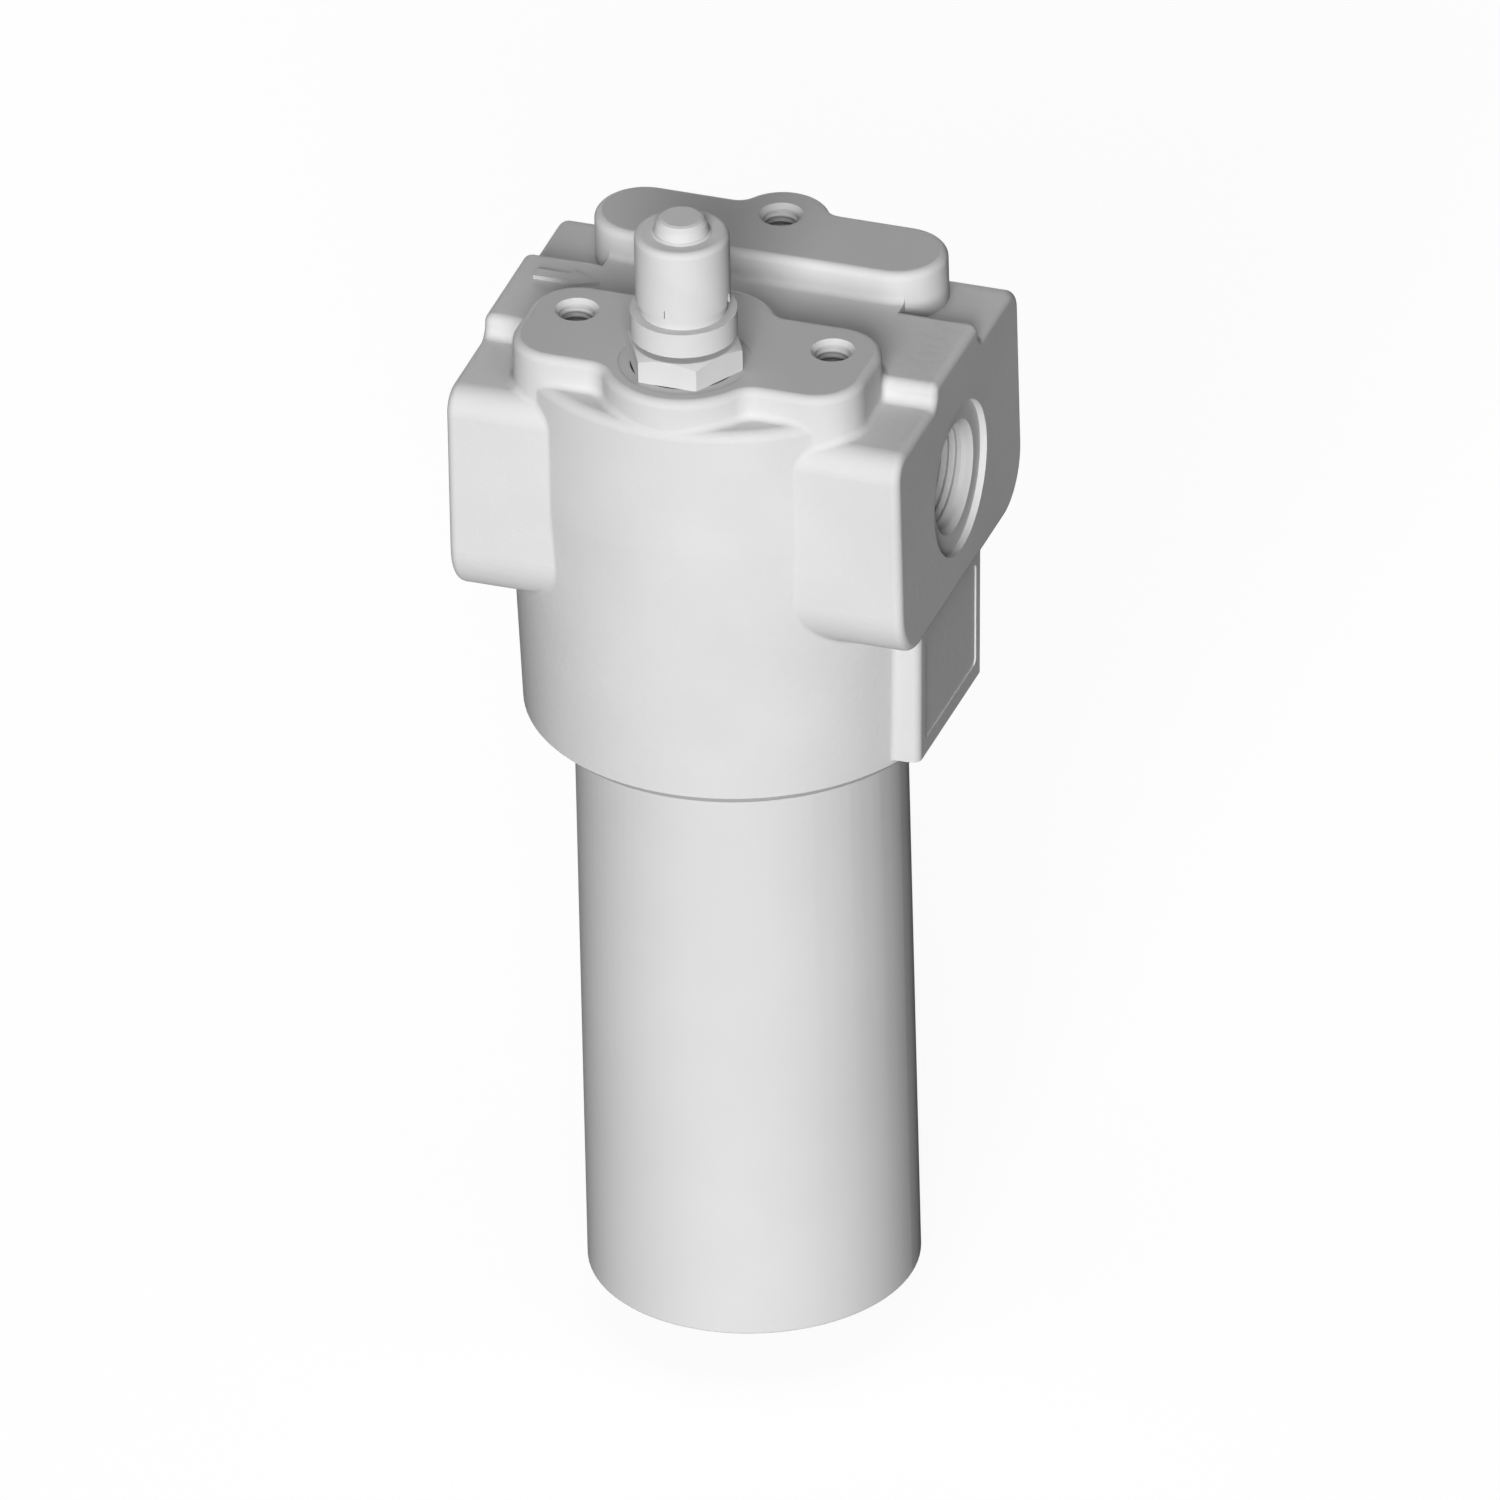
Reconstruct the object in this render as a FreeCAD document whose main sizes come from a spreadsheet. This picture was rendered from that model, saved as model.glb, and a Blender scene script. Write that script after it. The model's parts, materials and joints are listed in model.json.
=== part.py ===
import FreeCAD, Part
import math
import os
import Sketcher
from FreeCAD import Placement, Rotation, Vector

# Inline pressure filter: a cast head with two threaded ports, a screwed-in bowl, a pleated element
# on a spigot with its bypass valve, and a clogging indicator on top.
# Millimetres. The bowl's axis is Z, its flat underside is Z = 0, the ports lie along X and the
# indicator stands towards -Y.

doc = FreeCAD.newDocument("pressure_filter")
sheet = doc.addObject("Spreadsheet::Sheet", "sizes")
sub_parts = []


class Size:
    """A length that carries both its value and the sheet expression behind it."""

    def __init__(self, text, value):
        self.text = text
        self.value = float(value)

    def joined(self, other, sign, swap=False):
        other = as_size(other)
        left, right = (other, self) if swap else (self, other)
        value = {
            "+": lambda: left.value + right.value,
            "-": lambda: left.value - right.value,
            "*": lambda: left.value * right.value,
            "/": lambda: left.value / right.value,
        }[sign]()
        return Size("(%s %s %s)" % (left.text, sign, right.text), value)

    def __add__(self, other):
        return self.joined(other, "+")

    def __radd__(self, other):
        return self.joined(other, "+", swap=True)

    def __sub__(self, other):
        return self.joined(other, "-")

    def __rsub__(self, other):
        return self.joined(other, "-", swap=True)

    def __mul__(self, other):
        return self.joined(other, "*")

    def __rmul__(self, other):
        return self.joined(other, "*", swap=True)

    def __truediv__(self, other):
        return self.joined(other, "/")

    def __neg__(self):
        return Size("(-%s)" % self.text, -self.value)


def as_size(number):
    return number if isinstance(number, Size) else Size(repr(float(number)), number)


def tangent(angle):
    """The tangent of an angle that is kept in degrees."""
    return Size("tan(%s * 1deg)" % angle.text, math.tan(math.radians(angle.value)))


def size(name, value):
    """Writes one driving dimension into the sheet and hands it back by name."""
    row = size.row = getattr(size, "row", 0) + 1
    sheet.set("A%d" % row, name)
    sheet.set("B%d" % row, str(value))
    sheet.setAlias("B%d" % row, name)
    return Size("sizes." + name, value)


# Clearances
seat_gap = size("seat_gap", 0.3)
run_gap = size("run_gap", 0.08)
seal_gap = size("seal_gap", 0.05)
past = size("cut_past", 5)

# Bowl
bowl_radius = size("bowl_radius", 47)
bowl_wall = size("bowl_wall", 7.5)
bowl_floor = size("bowl_floor", 20)
bowl_floor_round = size("bowl_floor_round", 8)
bowl_foot_round = size("bowl_foot_round", 0.6)
bowl_rim_break = size("bowl_rim_chamfer", 1)
socket_across = size("socket_across_flats", 24)
socket_depth = size("socket_depth", 12)

# Head, round body
mouth_height = size("head_mouth_height", 181.5)
head_radius = size("head_radius", 64)
head_draft = size("head_draft_angle", 2)
mouth_chamfer = size("head_mouth_chamfer", 3)
head_below_port = size("head_below_port", 83.5)
head_above_port = size("head_above_port", 49.6)
land_height = size("land_height", 9)
deck_round = size("deck_edge_round", 3)
shoulder_inset = size("round_shoulder_inset", 20)
cast_root = size("cast_root_round", 2)

# Head, port block
block_past_round = size("block_past_round_body", 3.5)
block_side_inset = size("block_side_inset", 11.5)
block_below_port = size("block_below_port", 34)
block_lower_round = size("block_lower_round", 16.7)
block_upper_round = size("block_upper_round", 7.5)
block_end_round = size("block_end_round", 2.5)
ridge_half_width = size("ridge_half_width", 19)
ridge_height = size("ridge_height", 6.2)
ridge_round = size("ridge_round", 3)

# Head, front land and rear land for the mounting face
land_inset = size("land_end_inset", 12)
land_corner = size("land_corner_radius", 14)
land_side_inset = size("land_side_inset", 14.6)
front_far = size("front_land_rear_edge", 8.2)
rear_gap = size("rear_land_past_ridge", 2.4)
land_top_round = size("land_top_round", 2.5)
bulge_radius = size("indicator_bulge_radius", 23.8)
bulge_inset = size("indicator_bulge_inset", 0.9)
bulge_blend = size("indicator_bulge_blend", 7)
belly_radius = size("front_land_belly_radius", 18.6)
belly_offset = size("front_land_belly_offset", 16.3)
belly_blend = size("front_land_belly_blend", 5)
bump_blend = size("rear_bump_blend", 5)

# Head, label seat on the outlet side
label_inset = size("label_face_inset", 1.3)
label_lean = size("label_face_lean", 1.5)
label_half_width = size("label_seat_half_width", 27.3)
label_rise = size("label_seat_above_mouth", 4.4)
label_round = size("label_seat_round", 2.5)
label_overlap = size("label_seat_overlap", 10)
recess_half_width = size("label_recess_half_width", 22)
recess_rise = size("label_recess_above_seat_bottom", 4.9)
recess_height = size("label_recess_height", 33.2)
recess_depth = size("label_recess_depth", 0.5)
recess_corner = size("label_recess_corner", 2)

# Head, ports
port_hole = size("port_hole_radius", 15.15)
port_chamfer = size("port_chamfer", 1.55)
port_face_radius = size("port_spotface_radius", 22.7)
port_face_depth = size("port_spotface_depth", 2)
port_depth = size("port_thread_depth", 20)
passage_radius = size("passage_radius", 14)

# Head, inside
thread_length = size("bowl_thread_length", 30.5)
seal_bore_step = size("seal_bore_step", 1.4)
seal_length = size("seal_bore_length", 16.3)
mouth_break = size("mouth_bore_chamfer", 1.2)
dirty_step = size("dirty_chamber_step", 3.6)
dirty_roof = size("wall_under_passage", 5)
inlet_wall = size("inlet_pocket_wall", 22)
pocket_crown = size("inlet_pocket_above_passage", 1.5)
spigot_radius = size("spigot_radius", 20)
spigot_bore = size("spigot_bore_radius", 15)
spigot_length = size("spigot_length", 35)
clean_rise = size("clean_chamber_above_port", 25)

# Head, mounting holes
bolt_past_bar = size("rear_bolt_past_land_middle", 8.6)
bolt_hole = size("bolt_hole_radius", 5.1)
bolt_depth = size("bolt_hole_depth", 22)
bolt_chamfer = size("bolt_hole_chamfer", 1.25)
bolt_point = size("bolt_hole_point", 2.5)
bolt_count = size("bolt_count", 3)

# Head, flow arrow
arrow_height = size("arrow_height", 1.2)
arrow_tail = size("arrow_tail_distance", 60.4)
arrow_tip = size("arrow_tip_distance", 41.4)
arrow_head = size("arrow_head_length", 9)
arrow_middle = size("arrow_offset", 6.35)
arrow_shaft = size("arrow_shaft_half_width", 1.95)
arrow_wide = size("arrow_head_half_width", 4)

# Bowl seal
seal_groove = size("seal_groove_depth", 3.2)
seal_position = size("seal_groove_below_rim", 5)
backup_height = size("backup_ring_height", 1.4)

# Element
element_space = size("space_round_element", 6)
cap_wall = size("element_cap_wall", 0.8)
cap_rim = size("element_cap_rim", 4)
cap_plate = size("element_cap_plate", 2.7)
hub_radius = size("element_hub_radius", 25)
hub_height = size("element_hub_height", 17)
core_radius = size("core_tube_radius", 17.5)
core_bore = size("core_tube_bore", 16.3)
element_lift = size("element_above_bowl_floor", 20)
core_hole = size("core_hole_radius", 3.2)
core_rows = size("core_hole_rows", 5)
core_holes = size("core_holes_in_row", 4)
pleat_count = size("pleat_count", 36)
pleat_wall = size("pleat_wall", 0.5)
element_groove = size("element_groove_radius", 22.6)
element_groove_rise = size("element_groove_rise", 9)

# Bypass valve
bypass_seat = size("bypass_seat_radius", 6)
poppet_radius = size("poppet_radius", 9)
poppet_plate = size("poppet_plate", 3)
poppet_stem = size("poppet_stem_radius", 2.5)
poppet_stem_rise = size("poppet_stem_rise", 3)
cage_radius = size("bypass_cage_radius", 13.5)
cage_wall = size("bypass_cage_wall", 2)
cage_height = size("bypass_cage_height", 25)
cage_window = size("bypass_window_width", 9)
cage_sill = size("bypass_window_sill", 5)
cage_windows = size("bypass_window_count", 4)
bypass_coil = size("bypass_spring_radius", 7)
bypass_wire = size("bypass_spring_wire", 1.5)
bypass_pitch = size("bypass_spring_pitch", 4.6)

# Indicator, in the head
indicator_face_radius = size("indicator_spotface_radius", 19)
indicator_face_depth = size("indicator_spotface_depth", 0.3)
indicator_hole = size("indicator_hole_radius", 10.5)
indicator_depth = size("indicator_hole_depth", 22.3)
nose_bore = size("nose_bore_radius", 6.08)
nose_depth = size("nose_bore_depth", 16)
drilling = size("drilling_radius", 2)
clean_drilling_rise = size("clean_drilling_rise", 9)

# Indicator
hex_across = size("indicator_hex_across_flats", 30)
hex_rise = size("indicator_hex_above_land", 7.6)
hex_chamfer_circle = size("indicator_hex_chamfer_circle", 14.85)
hex_chamfer_angle = size("indicator_hex_chamfer_angle", 30)
joint_slot = size("indicator_joint_slot", 2.1)
body_neck = size("indicator_body_neck_radius", 10.5)
body_neck_rise = size("indicator_body_neck_rise", 6.8)
shank_end_gap = size("shank_end_gap", 1)
piston_bore = size("piston_bore_radius", 4.2)
piston_seat_bore = size("piston_seat_bore_radius", 3.2)
piston_seat_rise = size("piston_seat_rise", 4)
piston_chamber = size("piston_chamber_length", 20)
rod_bore = size("piston_rod_bore_radius", 2)
rod_wall = size("piston_rod_wall", 3)
cross_hole = size("cross_hole_radius", 1)
nose_groove = size("nose_groove_floor_radius", 4.7)
nose_groove_rise = size("nose_groove_rise", 1.6)
seal_recess_radius = size("seal_recess_radius", 15.6)
seal_recess_depth = size("seal_recess_depth", 1.2)
seal_ring_bore = size("seal_ring_bore_radius", 11)
piston_head = size("piston_head_length", 7.7)
rod_show = size("piston_rod_above_wall", 3)
magnet_radius = size("piston_magnet_radius", 3.9)
magnet_height = size("piston_magnet_height", 4)
piston_coil = size("piston_spring_radius", 3.3)
piston_wire = size("piston_spring_wire", 0.8)
piston_pitch = size("piston_spring_pitch", 2.8)

collar_radius = size("indicator_collar_radius", 15.2)
collar_height = size("indicator_collar_height", 7.5)
collar_neck = size("indicator_collar_neck_radius", 12.45)
neck_show = size("indicator_neck_visible", 3.6)
neck_height = size("indicator_neck_height", 14.2)
neck_bore = size("indicator_neck_bore_radius", 10.8)

cap_radius = size("indicator_cap_radius", 13.5)
cap_height = size("indicator_cap_height", 21.6)
cap_round = size("indicator_cap_round", 2)
cap_top_wall = size("indicator_cap_top_wall", 2.5)
cap_throat = size("indicator_cap_throat_radius", 9)
cap_lip = size("indicator_cap_lip_height", 0.5)
cap_lip_radius = size("indicator_cap_lip_radius", 8.65)
notch_half_width = size("indicator_notch_half_width", 1.1)
notch_height = size("indicator_notch_height", 3.2)
notch_round = size("indicator_notch_round", 1.09)

button_radius = size("button_radius", 7.87)
button_rise = size("button_above_cap", 4.7)
button_cone_top = size("button_cone_top_radius", 7.35)
button_cone_rise = size("button_cone_above_cap", 3.1)
button_flat = size("button_flat_radius", 5.4)
button_wall = size("button_wall", 2)
button_crown = size("button_crown_thickness", 6)
button_bevel = size("button_bevel_width", 0.9)
button_bevel_drop = size("button_bevel_height", 0.3)
button_flange = size("button_flange_radius", 10.5)
button_flange_rise = size("button_flange_rise", 8.2)
button_flange_height = size("button_flange_height", 2.3)
button_magnet_height = size("button_magnet_height", 4)
button_coil = size("button_spring_radius", 9.3)
button_wire = size("button_spring_wire", 0.9)
button_pitch = size("button_spring_pitch", 2.5)

# Places across the axis that follow from the sizes above
block_half_length = head_radius + block_past_round
block_half_width = head_radius - block_side_inset
shoulder_half = head_radius - shoulder_inset
land_end = head_radius - land_inset
front_near = head_radius - land_side_inset
rear_far = head_radius - land_side_inset
rear_near = ridge_half_width + rear_gap
rear_end = (rear_far - rear_near) / 2
rear_middle = rear_near + rear_end
bolt_circle = rear_middle + bolt_past_bar
label_face = head_radius - label_inset
indicator_offset = head_radius - bulge_inset - bulge_radius
bowl_inside = bowl_radius - bowl_wall
seal_bore = bowl_radius - seal_bore_step
seal_floor = seal_bore - seal_groove
dirty_radius = seal_bore - dirty_step
element_radius = bowl_inside - element_space

# Heights that follow from the sizes above
port_height = mouth_height + head_below_port
top_height = port_height + head_above_port
block_bottom = port_height - block_below_port
label_bottom = mouth_height + label_rise
recess_bottom = label_bottom + recess_rise
recess_top = recess_bottom + recess_height
clean_top = port_height + clean_rise
deck_height = top_height - land_height
step_height = deck_height - ridge_height
thread_top = mouth_height + thread_length
seal_top = thread_top + seal_length
dirty_top = port_height - passage_radius - dirty_roof
spigot_end = dirty_top - spigot_length
element_top = spigot_end - seat_gap - cap_plate
element_base = bowl_floor + element_lift
element_length = element_top - element_base
indicator_seat = top_height - indicator_face_depth
hole_floor = indicator_seat - indicator_depth
nose_floor = hole_floor - nose_depth
nose_tip = nose_floor + shank_end_gap
hex_top = top_height + hex_rise
collar_base = hex_top + joint_slot
body_top = hex_top + body_neck_rise
collar_top = collar_base + collar_height
cap_base = collar_top + neck_show
cap_top = cap_base + cap_height
neck_top = collar_top + neck_height
seal_mid = (seal_bore + seal_floor) / 2
seal_half = (seal_bore - seal_floor) / 2 - seal_gap
bowl_rim = seal_top - seat_gap
bowl_groove_top = bowl_rim - seal_position
bowl_groove_height = 2 * seal_half + backup_height + 3 * seal_gap
piston_seat = nose_tip + piston_seat_rise
piston_stop = piston_seat + piston_chamber


def bind(thing, prop, value):
    thing.setExpression(prop, as_size(value).text)


def new_body(name):
    body = doc.addObject("PartDesign::Body", name)
    body.Label = name
    sub_parts.append(body)
    return body


def origin_plane(body, role):
    return [o for o in body.Origin.OriginFeatures if o.Role == role][0]


def new_sketch(body, name, role, shift):
    sketch = body.newObject("Sketcher::SketchObject", name)
    sketch.AttachmentSupport = [(origin_plane(body, role), "")]
    sketch.MapMode = "FlatFace"
    for axis, amount in zip("xyz", shift):
        bind(sketch, "AttachmentOffset.Base." + axis, amount)
    return sketch


def locate(sketch, item, end, across, up):
    """Ties a point to the sketch's origin by its two distances."""
    for kind, amount in (("DistanceX", across), ("DistanceY", up)):
        amount = as_size(amount)
        if amount.value < 0:
            rule = Sketcher.Constraint(kind, item, end, -1, 1, -amount.value)
            amount = -amount
        else:
            rule = Sketcher.Constraint(kind, -1, 1, item, end, amount.value)
        bind(sketch, "Constraints[%d]" % sketch.addConstraint(rule), amount)


def set_radius(sketch, item, radius):
    rule = Sketcher.Constraint("Radius", item, as_size(radius).value)
    bind(sketch, "Constraints[%d]" % sketch.addConstraint(rule), radius)


def corner_arc(before, corner, after, radius):
    """The arc that rounds a corner, its two ends, and whether it runs with the outline."""
    back = (before - corner).normalize()
    ahead = (after - corner).normalize()
    half = back.getAngle(ahead) / 2
    reach = radius / math.tan(half)
    start = corner + back * reach
    stop = corner + ahead * reach
    centre = corner + (back + ahead).normalize() * (radius / math.sin(half))
    forward = back.cross(ahead).z < 0
    first, last = (start, stop) if forward else (stop, start)
    angles = [math.atan2(p.y - centre.y, p.x - centre.x) for p in (first, last)]
    arc = Part.ArcOfCircle(Part.Circle(centre, Vector(0, 0, 1), radius), *angles)
    return arc, start, stop, forward


def trace(sketch, corners):
    """Draws a closed outline. Each corner is (across, up) or (across, up, rounding)."""
    corners = [[as_size(value) for value in corner] for corner in corners]
    places = [Vector(corner[0].value, corner[1].value, 0) for corner in corners]
    count = len(corners)
    arcs = {}
    starts = list(places)
    stops = list(places)
    for i, corner in enumerate(corners):
        if len(corner) == 3:
            arc, stops[i], starts[i], forward = corner_arc(
                places[i - 1], places[i], places[(i + 1) % count], corner[2].value)
            arcs[i] = (arc, forward)
    lines = [
        sketch.addGeometry(Part.LineSegment(starts[i], stops[(i + 1) % count]))
        for i in range(count)
    ]
    for i, corner in enumerate(corners):
        before, after = lines[i - 1], lines[i]
        if i not in arcs:
            sketch.addConstraint(Sketcher.Constraint("Coincident", before, 2, after, 1))
            locate(sketch, after, 1, corner[0], corner[1])
            continue
        arc, forward = arcs[i]
        rounded = sketch.addGeometry(arc)
        mark = sketch.addGeometry(Part.Point(places[i]), True)
        first, last = (1, 2) if forward else (2, 1)
        sketch.addConstraint(Sketcher.Constraint("Tangent", before, 2, rounded, first))
        sketch.addConstraint(Sketcher.Constraint("Tangent", rounded, last, after, 1))
        sketch.addConstraint(Sketcher.Constraint("PointOnObject", mark, 1, before))
        sketch.addConstraint(Sketcher.Constraint("PointOnObject", mark, 1, after))
        set_radius(sketch, rounded, corner[2])
        locate(sketch, mark, 1, corner[0], corner[1])


def outline(body, name, role, corners, shift=(0, 0, 0)):
    sketch = new_sketch(body, name, role, shift)
    trace(sketch, corners)
    return sketch


def rings(body, name, role, circles, shift=(0, 0, 0)):
    """Circles in one sketch, each (across, up, radius)."""
    sketch = new_sketch(body, name, role, shift)
    for across, up, radius in circles:
        centre = Vector(as_size(across).value, as_size(up).value, 0)
        item = sketch.addGeometry(Part.Circle(centre, Vector(0, 0, 1), as_size(radius).value))
        set_radius(sketch, item, radius)
        locate(sketch, item, 3, across, up)
    return sketch


def feature(body, kind, sketch, name, **settings):
    made = body.newObject("PartDesign::" + kind, name)
    made.Profile = sketch
    for prop, value in settings.items():
        if isinstance(value, Size):
            bind(made, prop, value)
        else:
            setattr(made, prop, value)
    doc.recompute()
    return made


def pad(body, sketch, name, length, **settings):
    return feature(body, "Pad", sketch, name, Length=length, **settings)


def pocket(body, sketch, name, length, **settings):
    return feature(body, "Pocket", sketch, name, Length=length, **settings)


def revolve(body, sketch, name, axis="V_Axis"):
    return feature(body, "Revolution", sketch, name, ReferenceAxis=(sketch, [axis]), Angle=360)


def groove(body, sketch, name, axis="V_Axis"):
    return feature(body, "Groove", sketch, name, ReferenceAxis=(sketch, [axis]), Angle=360)


def edges_where(shape, wanted):
    return ["Edge%d" % (i + 1) for i, edge in enumerate(shape.Edges) if wanted(edge)]


def dress(body, kind, name, amount, wanted, prop):
    """A fillet or chamfer on the edges that the test picks."""
    base = body.Tip
    made = body.newObject("PartDesign::" + kind, name)
    made.Base = (base, edges_where(base.Shape, wanted))
    bind(made, prop, amount)
    doc.recompute()
    return made


def fillet(body, name, radius, wanted):
    return dress(body, "Fillet", name, radius, wanted, "Radius")


def turned(name, corners, shift=(0, 0, 0)):
    """A piece turned about Z, or about an upright axis set off by the shift."""
    body = new_body(name)
    revolve(body, outline(body, name + "_profile", "XZ_Plane", corners, shift), name + "_turned")
    return body


def near(value, target, within=0.02):
    return abs(value - as_size(target).value) < within


def level_at(edge, height):
    """Whether an edge lies in the horizontal plane at this height."""
    box = edge.BoundBox
    return near(box.ZMin, height) and near(box.ZMax, height)


on_indicator = (0, 0, indicator_offset)


def make_head():
    head = new_body("filter_head")

    # Round body: drafted skirt below the port axis, straight above it
    mouth_radius = head_radius - tangent(head_draft) * (port_height - mouth_height)
    revolve(head, outline(head, "round_profile", "XZ_Plane", [
        (0, mouth_height),
        (mouth_radius - mouth_chamfer, mouth_height),
        (mouth_radius + tangent(head_draft) * mouth_chamfer, mouth_height + mouth_chamfer),
        (head_radius, port_height),
        (head_radius, deck_height, deck_round),
        (0, deck_height),
    ]), "round_body")
    for side, sign in (("outlet", 1), ("inlet", -1)):
        pocket(head, outline(head, side + "_shoulder_cut", "XY_Plane", [
            (sign * shoulder_half, -head_radius),
            (sign * (head_radius + past), -head_radius),
            (sign * (head_radius + past), head_radius),
            (sign * shoulder_half, head_radius),
        ], shift=(0, 0, step_height)), side + "_shoulder", past + ridge_height, Reversed=True)

    # Port block with its raised middle ridge
    pad(head, outline(head, "block_profile", "YZ_Plane", [
        (-block_half_width, block_bottom, block_lower_round),
        (block_half_width, block_bottom, block_lower_round),
        (block_half_width, step_height, block_upper_round),
        (ridge_half_width, step_height, ridge_round),
        (ridge_half_width, deck_height, ridge_round),
        (-ridge_half_width, deck_height, ridge_round),
        (-ridge_half_width, step_height, ridge_round),
        (-block_half_width, step_height, block_upper_round),
    ]), "port_block", 2 * block_half_length, SideType="Symmetric")

    # Rounded ends of the block
    fillet(head, "block_end_rounds", block_end_round, lambda edge: (
        near(abs(edge.CenterOfMass.x), block_half_length)
        and near(edge.BoundBox.XLength, 0)))

    add_label_seat(head)
    add_front_land(head)
    add_rear_land(head)
    fillet(head, "land_top_rounds", land_top_round, lambda edge: level_at(edge, top_height))
    fillet(head, "cast_root_rounds", cast_root, is_cast_root)
    add_arrow(head)
    cut_ports(head)
    cut_inside(head)
    cut_bolt_holes(head)
    cut_indicator_hole(head)
    return head


def is_cast_root(edge):
    """Whether an edge starts a hollow corner of the casting; the round runs on from it by itself."""
    box = edge.BoundBox
    across, along = abs(edge.CenterOfMass.x), abs(edge.CenterOfMass.y)
    upright = box.ZLength > max(box.XLength, box.YLength)
    beside_block = (upright and near(box.YLength, 0) and near(along, block_half_width)
                    and across < shoulder_half.value and box.ZMin < step_height.value)
    beside_label = (upright and near(along, label_half_width)
                    and across < label_face.value - 2 * label_round.value)
    lengthways = near(box.YLength, 0) and level_at(edge, deck_height)
    under_rear_land = lengthways and edge.CenterOfMass.y > ridge_half_width.value
    under_front_edge = lengthways and near(edge.CenterOfMass.y, -front_near)
    beside_front_land = (near(across, land_end) and near(box.XLength, 0)
                         and level_at(edge, step_height) and edge.CenterOfMass.y < 0)
    return (beside_block or beside_label or beside_front_land
            or under_rear_land or under_front_edge)


def add_label_seat(head):
    """The leaning seat for a label under the outlet, with its shallow recess."""
    lean = tangent(label_lean)
    seat_top = block_bottom + block_lower_round
    inside = head_radius - label_overlap
    pad(head, outline(head, "label_seat_profile", "XZ_Plane", [
        (inside, label_bottom),
        (label_face, label_bottom),
        (label_face + lean * (seat_top - label_bottom), seat_top),
        (inside, seat_top),
    ]), "label_seat", 2 * label_half_width, SideType="Symmetric")
    fillet(head, "label_seat_rounds", label_round, lambda edge: (
        near(abs(edge.CenterOfMass.y), label_half_width)
        and edge.BoundBox.ZLength > recess_depth.value
        and edge.BoundBox.XMin > label_face.value - recess_depth.value
        and edge.BoundBox.ZMax < seat_top.value))
    face_low = label_face + lean * (recess_bottom - label_bottom)
    face_high = label_face + lean * (recess_top - label_bottom)
    pocket(head, outline(head, "label_recess_profile", "XZ_Plane", [
        (face_low - recess_depth, recess_bottom),
        (face_low + past, recess_bottom),
        (face_high + past, recess_top),
        (face_high - recess_depth, recess_top),
    ]), "label_recess", 2 * recess_half_width, SideType="Symmetric")
    fillet(head, "label_recess_rounds", recess_corner, lambda edge: (
        near(abs(edge.CenterOfMass.y), recess_half_width)
        and edge.Length < 2 * recess_depth.value))


def add_front_land(head):
    """The land that carries the indicator and two of the three mounting holes."""
    base = port_height
    rise = top_height - base
    lift = (0, 0, base)
    pad(head, outline(head, "front_land_profile", "XY_Plane", [
        (-land_end, -front_near, land_corner),
        (land_end, -front_near, land_corner),
        (land_end, -front_far, land_corner),
        (-land_end, -front_far, land_corner),
    ], lift), "front_land", rise)
    pad(head, rings(head, "indicator_bulge_profile", "XY_Plane", [
        (0, -indicator_offset, bulge_radius),
    ], lift), "indicator_bulge", rise)
    pad(head, rings(head, "front_belly_profile", "XY_Plane", [
        (0, -belly_offset, belly_radius),
    ], lift), "front_belly", rise)
    fillet(head, "indicator_bulge_blends", bulge_blend, lambda edge: (
        upright_above_deck(edge)
        and near(edge.CenterOfMass.y, -front_near)))
    fillet(head, "front_belly_blends", belly_blend, lambda edge: (
        upright_above_deck(edge)
        and near(edge.CenterOfMass.y, -front_far)
        and abs(edge.CenterOfMass.x) < belly_radius.value))


def upright_above_deck(edge):
    box = edge.BoundBox
    return (near(box.XLength, 0) and near(box.YLength, 0)
            and near(box.ZMax, top_height) and box.ZMin > step_height.value - deck_round.value)


def add_rear_land(head):
    """The bar behind the ridge, swollen round the third mounting hole."""
    base = port_height
    rise = top_height - base
    lift = (0, 0, base)
    end = land_end - rear_end
    pad(head, outline(head, "rear_land_profile", "XY_Plane", [
        (-end, rear_near),
        (end, rear_near),
        (end, rear_far),
        (-end, rear_far),
    ], lift), "rear_land", rise)
    pad(head, rings(head, "rear_land_end_profile", "XY_Plane", [
        (-end, rear_middle, rear_end),
        (end, rear_middle, rear_end),
    ], lift), "rear_land_ends", rise)
    pad(head, rings(head, "rear_bump_profile", "XY_Plane", [
        (0, bolt_circle, rear_end),
    ], lift), "rear_bump", rise)
    fillet(head, "rear_bump_blends", bump_blend, lambda edge: (
        upright_above_deck(edge)
        and near(edge.CenterOfMass.y, rear_far)
        and abs(edge.CenterOfMass.x) < rear_end.value))


def add_arrow(head):
    """The raised arrow on the ridge that shows the way the oil flows, towards +X."""
    neck = arrow_tip + arrow_head
    pad(head, outline(head, "arrow_profile", "XY_Plane", [
        (-arrow_tail, arrow_middle - arrow_shaft),
        (-neck, arrow_middle - arrow_shaft),
        (-neck, arrow_middle - arrow_wide),
        (-arrow_tip, arrow_middle),
        (-neck, arrow_middle + arrow_wide),
        (-neck, arrow_middle + arrow_shaft),
        (-arrow_tail, arrow_middle + arrow_shaft),
    ], (0, 0, deck_height)), "flow_arrow", arrow_height)


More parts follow.
